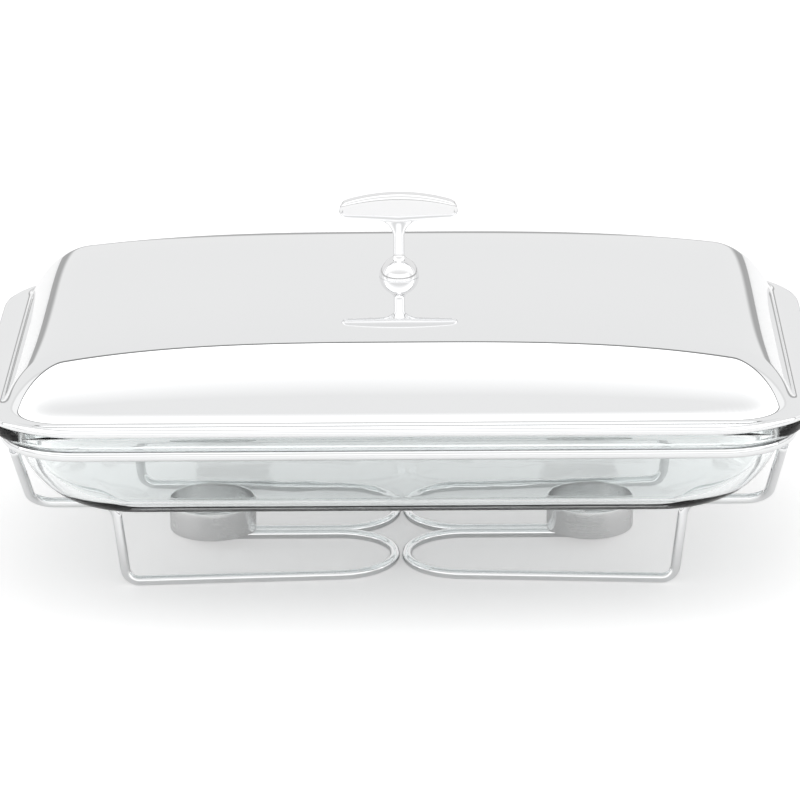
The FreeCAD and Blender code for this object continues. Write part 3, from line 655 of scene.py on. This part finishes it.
studioPlan = {
    "radius": 7.0,
    "rear": 0.87,            # brightness of the wall behind
    "rearHalf": 60.0,        # degrees to each side that it reaches
    "wedge": 0.80, "wedgeWidth": 6.0,      # a greyer strip at each end of it
    "sides": 1.0,
    "top": 1.6,              # of the large light overhead
    "front": 0.89,
    "frontLow": 1.25, "frontLowTop": 28.0,      # a low light in front
    "line": 0.25,            # of the dark gap between the wall and the light
    "lineFrom": 69.0, "lineTo": 73.0,      # degrees over from the rear
    "fadeFrom": 94.0, "fadeTo": 140.0,
    "horizon": 0.42, "horizonTo": 5.0,
    "floorTone": 0.76, "floorGlow": 0.38,
    "mirroredTone": 0.80, "mirroredGlow": 0.12, "mirroredLift": 0.0001,       # the floor as the metal shows it
}


def steps(value, start, end):
    return np.clip((value - start) / (end - start), 0, 1)


def studioBrightness(plan, x, y, z):
    # the wall behind is grey, the sides and the top are white; over is the angle over from the rear
    over = np.degrees(np.arctan2(z, y))
    aside = np.degrees(np.arctan2(np.abs(x), y))
    lift = np.degrees(np.arcsin(z))
    outerEnd = plan["rearHalf"] + plan["wedgeWidth"]
    wedge = steps(aside, plan["rearHalf"] - 1, plan["rearHalf"]) * (1 - steps(aside, outerEnd - 1, outerEnd))
    bright = plan["rear"] + (plan["sides"] - plan["rear"]) * steps(aside, outerEnd - 1, outerEnd)
    bright = bright + (plan["wedge"] - plan["rear"]) * wedge
    front = steps(over, plan["fadeFrom"], plan["fadeTo"])
    overhead = steps(over, plan["lineTo"] - 1, plan["lineTo"])
    bright = bright * (1 - overhead) + (plan["top"] * (1 - front) + plan["front"] * front) * overhead
    line = steps(over, plan["lineFrom"] - 1, plan["lineFrom"]) * (1 - overhead)
    bright = bright * (1 - line) + plan["line"] * line
    under = steps(-y, 0.3, 0.5) * (1 - steps(lift, plan["frontLowTop"] - 4, plan["frontLowTop"]))
    bright = bright * (1 - under) + plan["frontLow"] * under
    low = 1 - steps(lift, plan["horizonTo"] - 2, plan["horizonTo"])
    return bright * (1 - low) + plan["horizon"] * low


def stageFloor(name, size, tone, glow, level=0.0):
    finish = Finish(name + "Paint", Roughness=0.9)
    finish.shader.inputs["Base Color"].default_value = (tone, tone, tone, 1)
    finish.shader.inputs["Specular IOR Level"].default_value = 0.1
    finish.shader.inputs["Emission Color"].default_value = (1, 1, 1, 1)
    finish.shader.inputs["Emission Strength"].default_value = glow
    mesh = bpy.data.meshes.new(name)
    corners = [(-size, -size, level), (size, -size, level), (size, size, level), (-size, size, level)]
    mesh.from_pydata(corners, [], [(0, 1, 2, 3)])
    floor = bpy.data.objects.new(name, mesh)
    mesh.materials.append(finish.material)
    scene.collection.objects.link(floor)
    return floor


def makeStudio(plan):
    # a large ball whose brightness goes by direction; its rings run over from the rear to the
    # front, so that the edges of the light overhead run along the mesh
    across = np.radians(np.linspace(-89.5, 89.5, 180))
    over = np.radians(np.linspace(0, 360, 720, endpoint=False))
    across, over = np.meshgrid(across, over, indexing="ij")
    x, y, z = np.sin(across), np.cos(across) * np.cos(over), np.cos(across) * np.sin(over)
    bright = studioBrightness(plan, x, y, z)
    finish = Finish("StudioLight", Roughness=1.0)
    finish.shader.inputs["Base Color"].default_value = (0, 0, 0, 1)
    finish.shader.inputs["Specular IOR Level"].default_value = 0.0
    finish.shader.inputs["Emission Strength"].default_value = 1.0
    finish.drive("Emission Color", finish.node("ShaderNodeVertexColor", {"layer_name": "studioLight"}))
    points = np.stack([x, y, z], axis=-1) * plan["radius"]
    dome = gridPiece("studioDome", points, None, None, None, finish.material)
    colours = np.repeat(bright.reshape(-1, 1), 4, axis=1)
    tone = dome.data.color_attributes.new("studioLight", "FLOAT_COLOR", "POINT")
    tone.data.foreach_set("color", colours.astype(np.float32).ravel())
    size = plan["radius"] * 0.97
    floor = stageFloor("paleFloor", size, plan["floorTone"], plan["floorGlow"])
    floor.visible_glossy = False
    mirroredPlan = (plan["mirroredTone"], plan["mirroredGlow"], plan["mirroredLift"])
    mirrored = stageFloor("mirroredFloor", size, *mirroredPlan)
    mirrored.visible_camera = False
    mirrored.visible_diffuse = False
    mirrored.visible_transmission = False
    mirrored.visible_shadow = False


makeStudio(studioPlan)
print("studio made")
